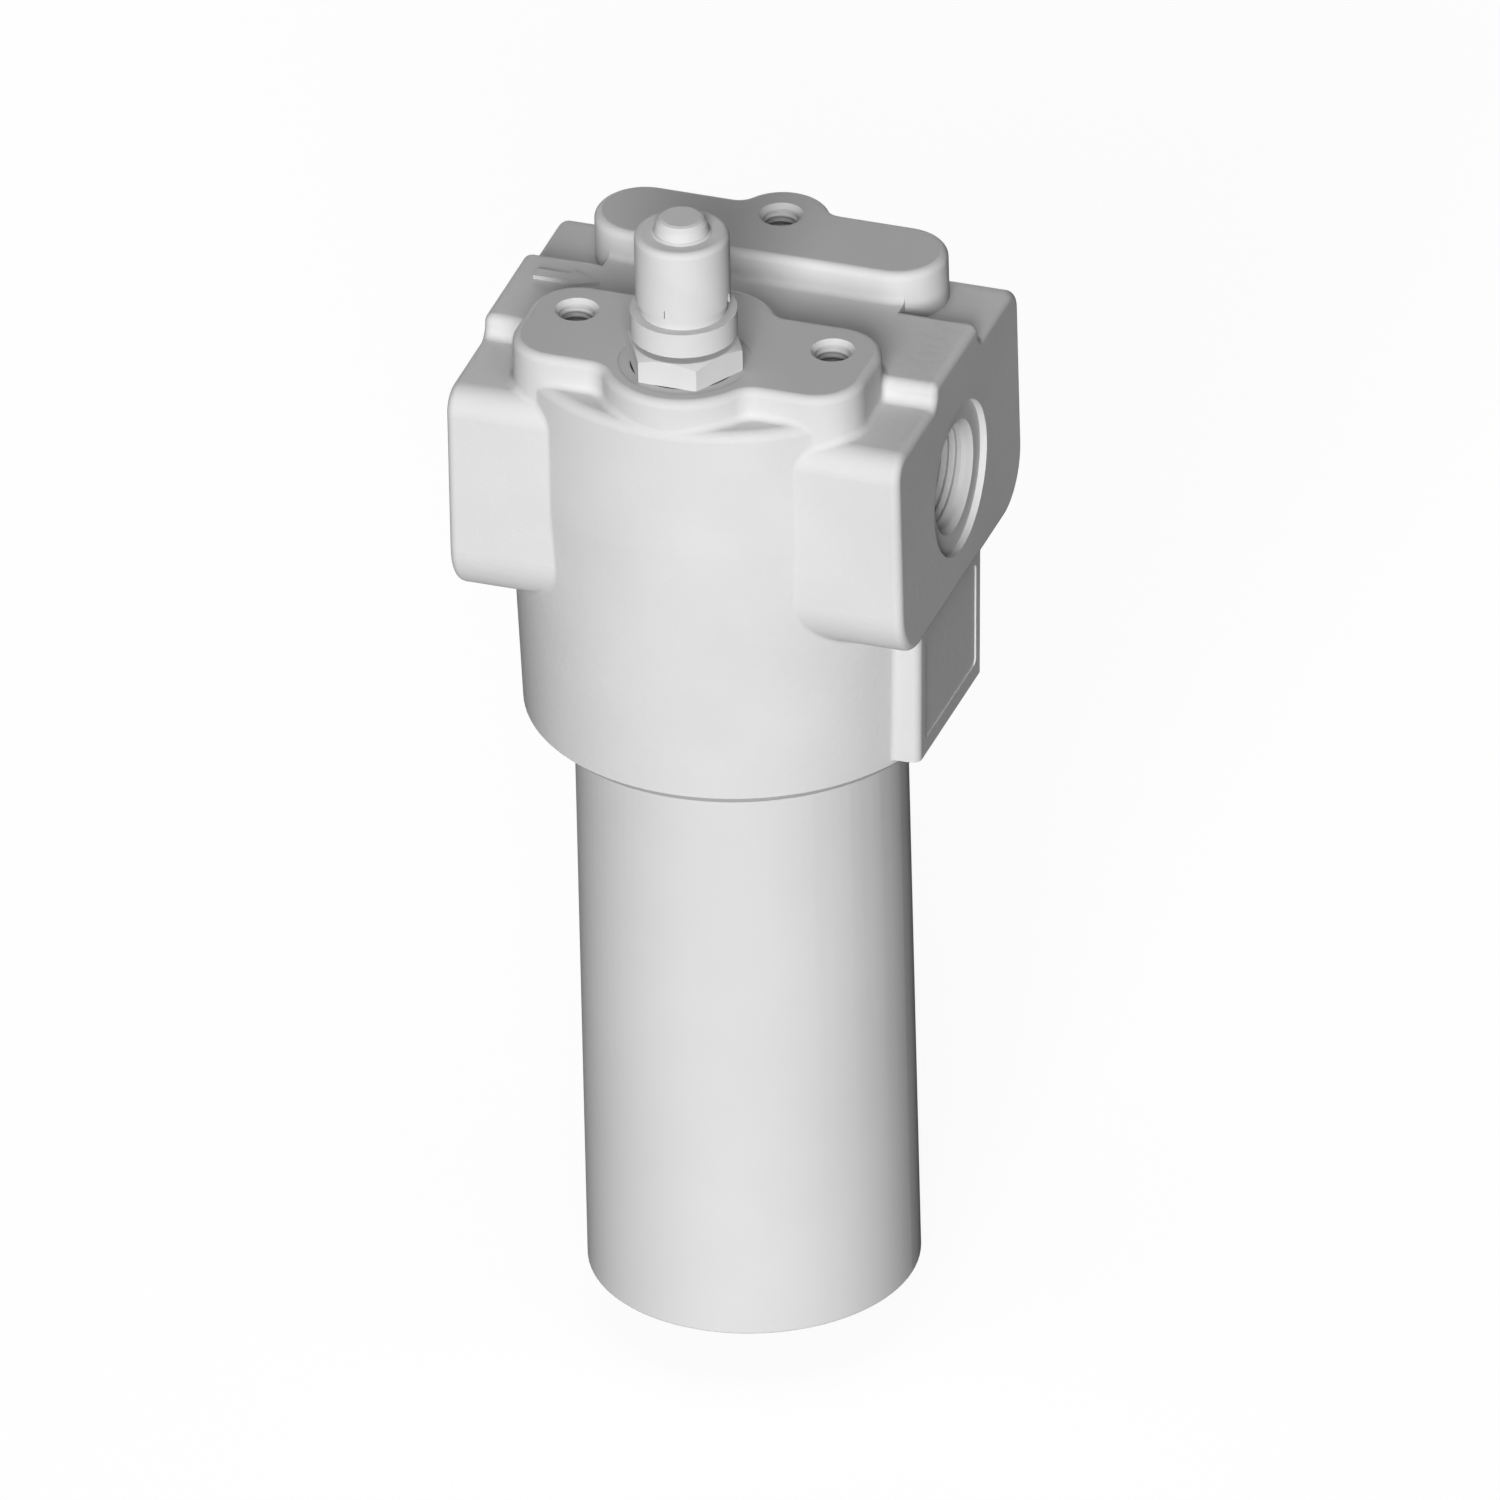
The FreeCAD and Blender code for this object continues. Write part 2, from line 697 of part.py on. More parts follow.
def cut_ports(head):
    """Both threaded ports with their spotfaces, and the passages behind them."""
    spot = block_half_length - port_face_depth
    thread_end = spot - port_depth
    for side, sign, inner in (("outlet", 1, 0), ("inlet", -1, inlet_wall + pocket_crown)):
        groove(head, outline(head, side + "_port_profile", "XZ_Plane", [
            (sign * inner, 0),
            (sign * inner, passage_radius),
            (sign * thread_end, passage_radius),
            (sign * thread_end, port_hole),
            (sign * (spot - port_chamfer), port_hole),
            (sign * spot, port_hole + port_chamfer),
            (sign * spot, port_face_radius),
            (sign * (block_half_length + past), port_face_radius),
            (sign * (block_half_length + past), 0),
        ], (0, port_height, 0)), side + "_port", "H_Axis")


def cut_inside(head):
    """Bowl thread and seal bores, the dirty and clean chambers, and the spigot left between them."""
    groove(head, outline(head, "bowl_bore_profile", "XZ_Plane", [
        (0, mouth_height - past),
        (bowl_radius + run_gap + mouth_break + past, mouth_height - past),
        (bowl_radius + run_gap, mouth_height + mouth_break),
        (bowl_radius + run_gap, thread_top),
        (seal_bore, thread_top),
        (seal_bore, seal_top),
        (dirty_radius, seal_top),
        (dirty_radius, dirty_top),
        (spigot_radius, dirty_top),
        (spigot_radius, spigot_end),
        (0, spigot_end),
    ]), "bowl_bore")
    pocket(head, rings(head, "clean_chamber_profile", "XY_Plane", [
        (0, 0, spigot_bore),
    ], (0, 0, spigot_end - past)), "clean_chamber", clean_top - spigot_end + past, Reversed=True)
    chord = new_sketch(head, "inlet_pocket_profile", "XY_Plane", (0, 0, dirty_top - past))
    trace_chord(chord, dirty_radius, inlet_wall)
    pocket(head, chord, "inlet_pocket",
           port_height + passage_radius + pocket_crown - dirty_top + past, Reversed=True)


def trace_chord(sketch, radius, distance):
    """The part of a circle that lies beyond a chord on the -X side."""
    reach = math.acos(distance.value / radius.value)
    circle = Part.Circle(Vector(0, 0, 0), Vector(0, 0, 1), radius.value)
    arc = sketch.addGeometry(Part.ArcOfCircle(circle, math.pi - reach, math.pi + reach))
    half = radius.value * math.sin(reach)
    line = sketch.addGeometry(Part.LineSegment(
        Vector(-distance.value, -half, 0), Vector(-distance.value, half, 0)))
    sketch.addConstraint(Sketcher.Constraint("Coincident", arc, 2, line, 1))
    sketch.addConstraint(Sketcher.Constraint("Coincident", line, 2, arc, 1))
    sketch.addConstraint(Sketcher.Constraint("Coincident", arc, 3, -1, 1))
    sketch.addConstraint(Sketcher.Constraint("Vertical", line))
    set_radius(sketch, arc, radius)
    rule = Sketcher.Constraint("DistanceX", line, 1, -1, 1, distance.value)
    bind(sketch, "Constraints[%d]" % sketch.addConstraint(rule), distance)


def cut_bolt_holes(head):
    """Three tapped blind holes for the mounting screws, 120 degrees apart."""
    profile = outline(head, "bolt_hole_profile", "XZ_Plane", [
        (0, top_height - bolt_depth - bolt_point),
        (bolt_hole, top_height - bolt_depth),
        (bolt_hole, top_height - bolt_chamfer),
        (bolt_hole + bolt_chamfer, top_height),
        (bolt_hole + bolt_chamfer, top_height + past),
        (0, top_height + past),
    ], (0, 0, -bolt_circle))
    hole = groove(head, profile, "bolt_hole")
    pattern = head.newObject("PartDesign::PolarPattern", "bolt_holes")
    pattern.Originals = [hole]
    pattern.Axis = (origin_axis(head), [""])
    pattern.Angle = 360
    bind(pattern, "Occurrences", bolt_count)
    head.Tip = pattern
    doc.recompute()


def origin_axis(body):
    return [o for o in body.Origin.OriginFeatures if o.Role == "Z_Axis"][0]


def cut_indicator_hole(head):
    """Spotface, seal recess, threaded hole and nose bore, with a drilling to each side of the element."""
    groove(head, outline(head, "indicator_hole_profile", "XZ_Plane", [
        (0, nose_floor),
        (nose_bore, nose_floor),
        (nose_bore, hole_floor),
        (indicator_hole, hole_floor),
        (indicator_hole, indicator_seat - seal_recess_depth),
        (seal_recess_radius, indicator_seat - seal_recess_depth),
        (seal_recess_radius, indicator_seat),
        (indicator_face_radius, indicator_seat),
        (indicator_face_radius, top_height + past),
        (0, top_height + past),
    ], on_indicator), "indicator_hole")
    pocket(head, rings(head, "dirty_drilling_profile", "XY_Plane", [
        (0, -indicator_offset, drilling),
    ], (0, 0, dirty_top - past)), "dirty_drilling", nose_floor - dirty_top + 2 * past, Reversed=True)
    pocket(head, rings(head, "clean_drilling_profile", "XZ_Plane", [
        (0, nose_floor + clean_drilling_rise, drilling),
    ]), "clean_drilling", indicator_offset, Reversed=True)


def make_bowl():
    """The thick-bottomed tube that screws into the head, with a hexagon socket underneath."""
    neck = seal_bore - run_gap
    bowl = turned("bowl", [
        (0, 0),
        (bowl_radius, 0, bowl_foot_round),
        (bowl_radius, thread_top - seat_gap - bowl_rim_break),
        (bowl_radius - bowl_rim_break, thread_top - seat_gap),
        (neck, thread_top - seat_gap),
        (neck, bowl_groove_top - bowl_groove_height),
        (seal_floor, bowl_groove_top - bowl_groove_height),
        (seal_floor, bowl_groove_top),
        (neck, bowl_groove_top),
        (neck, bowl_rim - bowl_rim_break),
        (neck - bowl_rim_break, bowl_rim),
        (bowl_inside, bowl_rim),
        (bowl_inside, bowl_floor, bowl_floor_round),
        (0, bowl_floor),
    ])
    pocket(bowl, hexagon(bowl, "socket_profile", socket_across), "socket", socket_depth, Reversed=True)
    return bowl


def hexagon(body, name, across, height=0):
    """A hexagon with two corners on the X axis."""
    point = across / math.sqrt(3)
    flat = across / 2
    corners = [(point, 0), (point / 2, flat), (-point / 2, flat),
               (-point, 0), (-point / 2, -flat), (point / 2, -flat)]
    return outline(body, name, "XY_Plane", corners, (0, 0, height))


def place(thing, across, height):
    """Sets a primitive on the bowl's axis or out towards the indicator."""
    bind(thing, "Placement.Base.y", -as_size(across))
    bind(thing, "Placement.Base.z", height)


def ring(name, radius, thickness, across, height):
    """A round-section seal."""
    torus = doc.addObject("Part::Torus", name)
    torus.Label = name
    bind(torus, "Radius1", radius)
    bind(torus, "Radius2", thickness)
    place(torus, across, height)
    sub_parts.append(torus)
    return torus


def plain_ring(name, outer, inner, height, thickness, across=0):
    """A flat ring of rectangular section."""
    turn_about = (0, 0, across)
    return turned(name, [
        (inner, height),
        (outer, height),
        (outer, height + thickness),
        (inner, height + thickness),
    ], turn_about)


def make_bowl_seal():
    low = bowl_groove_top - bowl_groove_height + seal_gap
    ring("bowl_o_ring", seal_mid, seal_half, 0, low + seal_half)
    plain_ring("bowl_backup_ring", seal_bore - seal_gap, seal_floor + seal_gap,
               low + 2 * seal_half + seal_gap, backup_height)


def make_element():
    """Core tube, pleats and two end caps; the upper cap plugs onto the head's spigot."""
    hub_bore = spigot_radius + run_gap
    hub_top = element_top + hub_height
    rim_inside = element_radius - cap_wall
    groove_top = element_top + element_groove_rise
    seal_thick = (element_groove - spigot_radius) / 2 - seal_gap
    groove_low = groove_top - 2 * (seal_thick + seal_gap)
    turned("element_top_cap", [
        (core_bore, element_top),
        (rim_inside, element_top),
        (rim_inside, element_top - cap_rim),
        (element_radius, element_top - cap_rim),
        (element_radius, element_top + cap_plate),
        (hub_radius, element_top + cap_plate),
        (hub_radius, hub_top),
        (hub_bore, hub_top),
        (hub_bore, groove_top),
        (element_groove, groove_top),
        (element_groove, groove_low),
        (hub_bore, groove_low),
        (hub_bore, element_top + cap_plate),
        (core_bore, element_top + cap_plate),
    ])
    ring("element_o_ring", (element_groove + spigot_radius) / 2, seal_thick, 0,
         (groove_top + groove_low) / 2)
    turned("element_bottom_cap", [
        (bypass_seat, element_base - cap_plate),
        (element_radius, element_base - cap_plate),
        (element_radius, element_base + cap_rim),
        (rim_inside, element_base + cap_rim),
        (rim_inside, element_base),
        (bypass_seat, element_base),
    ])
    make_core_tube()
    make_pleats(core_radius + seat_gap, rim_inside - seat_gap)


def make_core_tube():
    """The perforated tube that carries the pleats against the pressure."""
    tube = turned("element_core_tube", [
        (core_bore, element_base),
        (core_radius, element_base),
        (core_radius, element_top),
        (core_bore, element_top),
    ])
    step = element_length / core_rows
    half = element_base + step / 2
    hole = pocket(tube, rings(tube, "core_hole_profile", "XZ_Plane", [
        (0, half, core_hole),
    ]), "core_hole", core_radius + past)
    round_about = tube.newObject("PartDesign::PolarPattern", "core_hole_ring")
    round_about.Axis = (origin_axis(tube), [""])
    round_about.Angle = 360
    bind(round_about, "Occurrences", core_holes)
    stack = tube.newObject("PartDesign::LinearPattern", "core_hole_rows")
    stack.Direction = (origin_axis(tube), [""])
    bind(stack, "Length", element_length - step)
    bind(stack, "Occurrences", core_rows)
    multi = tube.newObject("PartDesign::MultiTransform", "core_holes")
    multi.Originals = [hole]
    multi.Transformations = [round_about, stack]
    tube.Tip = multi
    doc.recompute()


def make_pleats(inner, outer):
    """One sheet folded to and fro round the core tube, as a closed zigzag wall."""
    folds = int(pleat_count.value)
    half_turn = math.pi / folds

    def star(low, high):
        points = [
            Vector(radius * math.cos(angle), radius * math.sin(angle), 0)
            for fold in range(folds)
            for radius, angle in ((high, 2 * fold * half_turn), (low, (2 * fold + 1) * half_turn))
        ]
        face = Part.Face(Part.makePolygon(points + points[:1]))
        return face.extrude(Vector(0, 0, element_length.value))

    # A fold's flank is steep, so along the radius its wall measures several times its thickness
    flank = math.atan2(inner.value * math.sin(half_turn), outer.value - inner.value)
    along = pleat_wall.value / math.sin(flank)
    pleats = doc.addObject("Part::Feature", "element_pleats")
    pleats.Label = "element_pleats"
    pleats.Shape = star(inner.value + along, outer.value).cut(star(inner.value, outer.value - along))
    pleats.Placement = Placement(Vector(0, 0, element_base.value), Rotation())
    sub_parts.append(pleats)


def coil(name, radius, wire, pitch, low, high, across=0):
    """A spring of square wire between two seats."""
    body = new_body(name)
    half = wire / 2
    section = outline(body, name + "_wire", "XZ_Plane", [
        (radius - half, low),
        (radius + half, low),
        (radius + half, low + wire),
        (radius - half, low + wire),
    ], (0, 0, across))
    helix = body.newObject("PartDesign::AdditiveHelix", name + "_coil")
    helix.Profile = section
    helix.ReferenceAxis = (section, ["V_Axis"])
    helix.Mode = "pitch-height-angle"
    bind(helix, "Pitch", pitch)
    bind(helix, "Height", high - low - wire)
    doc.recompute()
    return body


def make_bypass():
    """A poppet over the hole in the lower cap, its spring, and the cage that holds both."""
    plate_top = element_base + poppet_plate
    cage_top = element_base + cage_height
    cage_roof = cage_top - cage_wall
    turned("bypass_poppet", [
        (0, element_base),
        (poppet_radius, element_base),
        (poppet_radius, plate_top),
        (poppet_stem, plate_top),
        (poppet_stem, cage_top + poppet_stem_rise),
        (0, cage_top + poppet_stem_rise),
    ])
    cage = turned("bypass_cage", [
        (cage_radius - cage_wall, element_base),
        (cage_radius, element_base),
        (cage_radius, cage_top),
        (poppet_stem + run_gap, cage_top),
        (poppet_stem + run_gap, cage_roof),
        (cage_radius - cage_wall, cage_roof),
    ])
    window = pocket(cage, outline(cage, "window_profile", "XZ_Plane", [
        (-cage_window / 2, element_base + cage_sill),
        (cage_window / 2, element_base + cage_sill),
        (cage_window / 2, cage_roof - cage_sill),
        (-cage_window / 2, cage_roof - cage_sill),
    ]), "window", cage_radius + past)
    pattern = cage.newObject("PartDesign::PolarPattern", "windows")
    pattern.Originals = [window]
    pattern.Axis = (origin_axis(cage), [""])
    pattern.Angle = 360
    bind(pattern, "Occurrences", cage_windows)
    cage.Tip = pattern
    doc.recompute()
    coil("bypass_spring", bypass_coil, bypass_wire, bypass_pitch,
         plate_top + seal_gap, cage_roof - seal_gap)


def make_indicator():
    """A magnetic piston in a screwed-in hexagon body, and a button in the housing above it."""
    shank = indicator_hole - run_gap
    nose = nose_bore - run_gap
    groove_low = nose_tip + nose_groove_rise
    nose_half = (nose_bore - nose_groove) / 2 - seal_gap
    body = new_body("indicator_body")
    pad(body, hexagon(body, "hexagon", hex_across, indicator_seat), "hex_head", hex_top - indicator_seat)
    corner = hex_across / math.sqrt(3) + past
    groove(body, outline(body, "hex_chamfer_profile", "XZ_Plane", [
        (hex_chamfer_circle, hex_top),
        (corner, hex_top - (corner - hex_chamfer_circle) * tangent(hex_chamfer_angle)),
        (corner, hex_top + past),
        (hex_chamfer_circle, hex_top + past),
    ]), "hex_chamfer")
    revolve(body, outline(body, "shank_profile", "XZ_Plane", [
        (0, nose_tip),
        (nose, nose_tip),
        (nose, groove_low),
        (nose_groove, groove_low),
        (nose_groove, groove_low + 2 * (nose_half + seal_gap)),
        (nose, groove_low + 2 * (nose_half + seal_gap)),
        (nose, hole_floor + shank_end_gap),
        (shank, hole_floor + shank_end_gap),
        (shank, hex_top),
        (body_neck, hex_top),
        (body_neck, body_top),
        (0, body_top),
    ]), "shank")
    groove(body, outline(body, "piston_bore_profile", "XZ_Plane", [
        (0, nose_tip - past),
        (piston_seat_bore, nose_tip - past),
        (piston_seat_bore, piston_seat),
        (piston_bore, piston_seat),
        (piston_bore, piston_stop),
        (rod_bore, piston_stop),
        (rod_bore, piston_stop + rod_wall),
        (piston_bore, piston_stop + rod_wall),
        (piston_bore, body_top + past),
        (0, body_top + past),
    ]), "piston_bore_cut")
    pocket(body, rings(body, "cross_hole_profile", "XZ_Plane", [
        (0, piston_seat + piston_head + 2 * cross_hole, cross_hole),
    ]), "cross_hole", 4 * nose_bore, SideType="Symmetric")
    bind(body, "Placement.Base.y", -indicator_offset)

    ring("indicator_nose_o_ring", (nose_bore + nose_groove) / 2, nose_half, indicator_offset,
         groove_low + nose_half + seal_gap)
    plain_ring("indicator_seal_ring", seal_recess_radius - seal_gap, seal_ring_bore,
               indicator_seat - seal_recess_depth, seal_recess_depth, indicator_offset)

    rod_top = piston_stop + rod_wall + rod_show
    turned("indicator_piston", [
        (0, piston_seat),
        (piston_bore - run_gap, piston_seat),
        (piston_bore - run_gap, piston_seat + piston_head),
        (rod_bore - run_gap, piston_seat + piston_head),
        (rod_bore - run_gap, rod_top),
        (0, rod_top),
    ], on_indicator)
    turned("indicator_magnet", [
        (0, rod_top),
        (magnet_radius, rod_top),
        (magnet_radius, rod_top + magnet_height),
        (0, rod_top + magnet_height),
    ], on_indicator)
    coil("indicator_spring", piston_coil, piston_wire, piston_pitch,
         piston_seat + piston_head + seal_gap, piston_stop - seal_gap, indicator_offset)


def make_indicator_housing():
    """Collar, cap and button above the hexagon."""
    socket = body_neck + seal_gap
    floor = body_top + seat_gap
    turned("indicator_collar", [
        (socket, collar_base),
        (collar_radius, collar_base),
        (collar_radius, collar_top),
        (collar_neck, collar_top),
        (collar_neck, neck_top),
        (neck_bore, neck_top),
        (neck_bore, collar_top),
        (0, collar_top),
        (0, floor),
        (socket, floor),
    ], on_indicator)

    shoulder = neck_top + seat_gap
    hole = button_radius + run_gap
    cap = turned("indicator_cap", [
        (collar_neck + run_gap, cap_base),
        (cap_radius, cap_base),
        (cap_radius, cap_top, cap_round),
        (cap_lip_radius, cap_top),
        (hole + seal_gap, cap_top + cap_lip),
        (hole, cap_top + cap_lip),
        (hole, cap_top - cap_top_wall),
        (cap_throat, cap_top - cap_top_wall),
        (cap_throat, shoulder),
        (collar_neck + run_gap, shoulder),
    ], on_indicator)
    cut_cap_notches(cap)

    flange_low = collar_top + button_flange_rise
    crown = cap_top + button_rise
    turned("indicator_button", [
        (button_radius - button_wall, collar_top),
        (button_radius, collar_top),
        (button_radius, flange_low),
        (button_flange, flange_low),
        (button_flange, flange_low + button_flange_height),
        (button_radius, flange_low + button_flange_height),
        (button_radius, cap_top + cap_lip),
        (button_cone_top, cap_top + button_cone_rise),
        (button_flat + button_bevel, crown - button_bevel_drop),
        (button_flat, crown),
        (0, crown),
        (0, crown - button_crown),
        (button_radius - button_wall, crown - button_crown),
    ], on_indicator)
    turned("button_magnet", [
        (0, collar_top),
        (button_radius - button_wall - seal_gap, collar_top),
        (button_radius - button_wall - seal_gap, collar_top + button_magnet_height),
        (0, collar_top + button_magnet_height),
    ], on_indicator)
    coil("button_spring", button_coil, button_wire, button_pitch,
         collar_top + seal_gap, flange_low - seal_gap, indicator_offset)


def cut_cap_notches(cap):
    """Four round-topped notches in the cap's lower rim."""
    half = notch_half_width
    for role in ("XZ_Plane", "YZ_Plane"):
        shift = (0, 0, indicator_offset) if role == "XZ_Plane" else (-indicator_offset, 0, 0)
        pocket(cap, outline(cap, "notch_profile_" + role[:2], role, [
            (-half, cap_base - past),
            (half, cap_base - past),
            (half, cap_base + notch_height, notch_round),
            (-half, cap_base + notch_height, notch_round),
        ], shift), "notches_" + role[:2], 2 * cap_radius + past, SideType="Symmetric")


make_head()
make_bowl()
make_bowl_seal()
make_element()
make_bypass()
make_indicator()
make_indicator_housing()
doc.recompute()

for thing in doc.Objects:
    if "Invalid" in thing.State or "Error" in thing.State:
        raise RuntimeError("%s could not be made: %s" % (thing.Label, thing.State))
os.makedirs("parts", exist_ok=True)
for piece in sub_parts:
    if piece.Shape.isNull() or not piece.Shape.isValid():
        raise RuntimeError("%s has no valid shape" % piece.Label)
    piece.Shape.exportStep(os.path.join("parts", piece.Label + ".step"))
print("wrote %d sub-parts" % len(sub_parts))
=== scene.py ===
import json
import math

import bmesh
import bpy
from mathutils import Matrix, Vector


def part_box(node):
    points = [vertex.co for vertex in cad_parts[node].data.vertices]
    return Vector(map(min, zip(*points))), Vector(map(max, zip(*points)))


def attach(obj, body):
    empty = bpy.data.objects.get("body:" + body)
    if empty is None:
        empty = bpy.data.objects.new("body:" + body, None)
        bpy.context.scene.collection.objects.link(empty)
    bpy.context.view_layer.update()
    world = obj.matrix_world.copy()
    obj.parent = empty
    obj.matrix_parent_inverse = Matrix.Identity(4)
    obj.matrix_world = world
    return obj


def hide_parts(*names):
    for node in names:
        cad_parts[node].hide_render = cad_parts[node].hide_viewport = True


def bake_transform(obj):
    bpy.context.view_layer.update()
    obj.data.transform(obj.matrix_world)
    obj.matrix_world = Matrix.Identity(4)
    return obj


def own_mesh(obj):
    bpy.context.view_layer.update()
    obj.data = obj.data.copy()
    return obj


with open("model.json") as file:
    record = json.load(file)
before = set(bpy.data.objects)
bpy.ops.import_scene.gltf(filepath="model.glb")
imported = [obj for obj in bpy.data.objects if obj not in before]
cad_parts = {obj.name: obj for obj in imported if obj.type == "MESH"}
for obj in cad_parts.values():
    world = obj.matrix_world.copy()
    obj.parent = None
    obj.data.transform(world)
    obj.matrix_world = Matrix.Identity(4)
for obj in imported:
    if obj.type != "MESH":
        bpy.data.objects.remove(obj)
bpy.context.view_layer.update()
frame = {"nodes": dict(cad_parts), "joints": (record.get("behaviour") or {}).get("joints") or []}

# Looks of the hydraulic pressure filter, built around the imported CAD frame. Metres throughout.
# The bowl's axis is Z, the ports lie along X and the indicator stands towards -Y.

scene = bpy.context.scene
MM = 0.001

# The photograph's view, solved from the drawing as an orthographic one
VIEW_AZIMUTH = math.radians(19.77)
VIEW_ELEVATION = math.radians(30.98)
VIEW_ROLL = math.radians(1.4435)
VIEW_PIXELS = 1500
VIEW_PIXELS_PER_MM = 3.55
VIEW_CENTRE_RIGHT = -1.248 * MM
VIEW_CENTRE_UP = 140.40 * MM
VIEW_DISTANCE = 2.0
VIEW_NEAREST = 0.05
VIEW_FARTHEST = 30

# Sizes that the CAD frame gives
PORT_HEIGHT = 265 * MM
PORT_MOUTH = 63.95 * MM
PORT_THREAD_END = 46.5 * MM
PORT_BORE_END = 41.85 * MM
PORT_RADIUS = 15.15 * MM
PORT_SPOT_RADIUS = 22.7 * MM
BLOCK_END = 67.5 * MM
BOLT_CIRCLE = 44 * MM
BOLT_RADIUS = 5.1 * MM
BOLT_MOUTH = 313.35 * MM
BOLT_THREAD_END = 294.5 * MM
INDICATOR_Y = -39.3 * MM
INDICATOR_SPOT_RADIUS = 19 * MM
INDICATOR_BORE_END = 270 * MM
BOWL_BORE_RADIUS = 47.5 * MM
BOWL_BORE_END = 285 * MM
TOP_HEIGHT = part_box("filter_head")[1].z
BOWL_RADIUS = 47 * MM
BOWL_THREAD_START = 183 * MM
BOWL_THREAD_END = 210.7 * MM

# Threads, which the CAD frame leaves plain. The ridges in the head stop PLAIN_TURNS short of
# either end, and the bowl's surface has this many rows to a turn and columns round it.
PIPE_PITCH = 25.4 / 11 * MM
PIPE_DEPTH = 0.85 * MM
BOLT_PITCH = 1.75 * MM
BOLT_DEPTH = 0.5 * MM
PLAIN_TURNS = 0.3
BOWL_PITCH = 2 * MM
BOWL_DEPTH = 1.1 * MM
BOWL_ROWS = 8
BOWL_COLUMNS = 128
SHARP_ANGLE = math.radians(35)

# The drawing's one grey, as a linear colour, and the share of it that machined faces show. The lands' lower
# share is painted shade.
GREY = 0.56
MACHINED_SHARE = 1.02
# Painted shade: the lit top lands are darkened so that they match the deck, which the key lamp shadows
LAND_PAINTED_SHADE_SHARE = 0.86
INDICATOR_SPOT_SHARE = 0.84

# Levels of specular reflection. The drawing shows no gloss anywhere.
MATT = 0.0
SATIN = 0.2

# The filter hangs by its head, so the floor lies clear of the lowered bowl
FLOOR_HEIGHT = -19 * MM
FLOOR_SIZE = 12
FLOOR_GREY = 0.14
FLOOR_GLOW = 0.9
WORLD_LIGHT = 0.03

# Name, azimuth, elevation, strength and softness of each lamp, with the angles in degrees
LAMPS = (
    ("key", 13, 15.5, 4.05, 30),
    ("top", 13, 75, 0.65, 40),
    ("back_key", 205, 4, 2.6, 24),
)


class Shader:
    """A Principled material and the nodes that feed it."""

    def __init__(self, name, colour, roughness, metallic=0.0, specular=SATIN):
        self.material = bpy.data.materials.new(name)
        self.material.use_nodes = True
        self.nodes = self.material.node_tree.nodes
        self.links = self.material.node_tree.links
        self.shader = self.nodes["Principled BSDF"]
        self.colour = colour if isinstance(colour, tuple) else (colour, colour, colour)
        self.shader.inputs["Base Color"].default_value = (*self.colour, 1)
        self.shader.inputs["Roughness"].default_value = roughness
        self.shader.inputs["Metallic"].default_value = metallic
        self.shader.inputs["Specular IOR Level"].default_value = specular
        self.bump = None
        self.place = self.node("ShaderNodeTexCoord").outputs["Object"]

    def node(self, kind, links=None, **settings):
        """Adds a node; each of its sockets gets a link or a value."""
        made = self.nodes.new(kind)
        for name, value in settings.items():
            setattr(made, name, value)
        for socket, value in (links or {}).items():
            if isinstance(value, bpy.types.NodeSocket):
                self.links.new(value, made.inputs[socket])
            else:
                made.inputs[socket].default_value = value
        return made

    def noise(self, scale, detail=3.0, roughness=0.5):
        made = self.node("ShaderNodeTexNoise", {
            "Vector": self.place, "Scale": scale, "Detail": detail, "Roughness": roughness})
        return made.outputs["Fac"]

    def spread(self, value, low, high):
        """Maps the middle of a noise, where nearly all of it lies, onto a range."""
        made = self.node("ShaderNodeMapRange", {
            "Value": value, "From Min": 0.3, "From Max": 0.7, "To Min": low, "To Max": high})
        return made.outputs["Result"]

    def tint(self, value, low, high):
        """Lets the colour swing between two shares of its own value."""
        made = self.node("ShaderNodeMix", {0: self.spread(value, 0.0, 1.0)}, data_type="RGBA")
        colour_a, colour_b, mixed = 6, 7, 2
        for socket, share in ((colour_a, low), (colour_b, high)):
            made.inputs[socket].default_value = (*[min(1.0, c * share) for c in self.colour], 1)
        self.links.new(made.outputs[mixed], self.shader.inputs["Base Color"])

    def polish(self, value, low, high):
        """Lets the roughness swing between two values."""
        self.links.new(self.spread(value, low, high), self.shader.inputs["Roughness"])

    def relief(self, value, depth):
        """Adds a bump of this depth in metres on top of the ones before it."""
        links = {"Height": value, "Distance": depth, "Strength": 1.0}
        if self.bump is not None:
            links["Normal"] = self.bump
        self.bump = self.node("ShaderNodeBump", links).outputs["Normal"]
        self.links.new(self.bump, self.shader.inputs["Normal"])

    def from_axis(self, centre, axis):
        """The distance from an axis through a centre, for rings and turning marks."""
        moved = self.node("ShaderNodeVectorMath", {0: self.place, 1: centre}, operation="SUBTRACT")
        across = [0.0 if name == axis else 1.0 for name in "XYZ"]
        flat = self.node("ShaderNodeVectorMath", {0: moved.outputs[0], 1: across}, operation="MULTIPLY")
        return self.node("ShaderNodeVectorMath", {0: flat.outputs[0]}, operation="LENGTH").outputs["Value"]

    def along(self, axis):
        return self.node("ShaderNodeSeparateXYZ", {0: self.place}).outputs[axis]

    def tool_marks(self, distance, step):
        """Uneven tool marks along a distance, about one every step."""
        scaled = self.node("ShaderNodeMath", {0: distance, 1: 1 / step}, operation="MULTIPLY")
        made = self.node("ShaderNodeTexNoise", {"W": scaled.outputs[0], "Scale": 1.0, "Detail": 2.0},
                         noise_dimensions="1D")
        return made.outputs["Fac"]


def cast_paint():
    """Light grey paint over a fine sand-cast skin."""
    made = Shader("cast_paint", GREY, 0.55, specular=MATT)
    made.tint(made.noise(26, detail=4), 0.965, 1.03)
    made.polish(made.noise(320), 0.44, 0.58)
    made.relief(made.noise(420, roughness=0.55), 0.09 * MM)
    made.relief(made.noise(1500, detail=2), 0.03 * MM)
    return made.material


